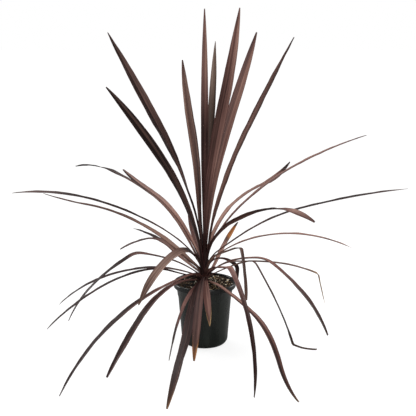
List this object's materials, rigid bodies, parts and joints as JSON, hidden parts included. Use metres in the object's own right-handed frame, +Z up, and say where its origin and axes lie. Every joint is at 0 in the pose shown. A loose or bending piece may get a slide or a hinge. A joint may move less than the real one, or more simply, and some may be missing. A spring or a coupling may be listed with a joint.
{
  "type": "potted cordyline",
  "caption": "Potted cordyline: a tapered nursery pot filled with soil, a short stem, and a rosette of long bronze strap leaves that arch outward and hang over the rim.",
  "frame": {"origin": "middle of the pot's underside, on the surface that it stands on", "axes": "+Z up along the pot's axis and the stem; -Y is the front, the side that the picture shows; +X to the right seen from the front"},
  "size_m": [1.0487, 0.973, 0.8776],
  "materials": {
    "pot_plastic": "satin charcoal, moulded",
    "potting_soil": "rough, crumbly, with bark chips",
    "stem_bark": "rough, ringed with leaf scars",
    "leaf_bronze": "satin dark bronze with a maroon edge",
    "leaf_mauve": "satin mauve-brown with a maroon edge",
    "leaf_dry": "matte grey-brown with a dry tan tip"
  },
  "bodies": {
    "root": {"pot": "pot_plastic", "soil": "potting_soil", "stem": "stem_bark", "upright_leaf_1": "leaf_bronze", "upright_leaf_2": "leaf_bronze", "upright_leaf_3": "leaf_bronze", "upright_leaf_4": "leaf_bronze", "upright_leaf_5": "leaf_bronze", "upright_leaf_6": "leaf_bronze", "upright_leaf_7": "leaf_bronze", "upright_leaf_8": "leaf_bronze", "upright_leaf_9": "leaf_mauve", "right_leaf_1": "leaf_mauve", "right_leaf_2": "leaf_mauve", "right_leaf_3": "leaf_mauve", "right_leaf_4": "leaf_bronze", "right_leaf_5": "leaf_bronze", "right_leaf_6": "leaf_dry", "right_leaf_7": "leaf_mauve", "right_leaf_8": "leaf_mauve", "right_leaf_9": "leaf_dry", "right_leaf_10": "leaf_dry", "right_leaf_11": "leaf_bronze", "right_leaf_12": "leaf_mauve", "right_leaf_13": "leaf_bronze", "left_leaf_1": "leaf_mauve", "left_leaf_2": "leaf_mauve", "left_leaf_3": "leaf_bronze", "left_leaf_4": "leaf_mauve", "left_leaf_5": "leaf_bronze", "left_leaf_6": "leaf_mauve", "left_leaf_7": "leaf_dry", "left_leaf_8": "leaf_mauve", "left_leaf_9": "leaf_mauve", "left_leaf_10": "leaf_mauve", "left_leaf_11": "leaf_bronze", "left_leaf_12": "leaf_mauve", "front_leaf_1": "leaf_mauve", "front_leaf_2": "leaf_dry", "front_leaf_3": "leaf_bronze", "front_leaf_4": "leaf_dry"}
  },
  "joints": []
}
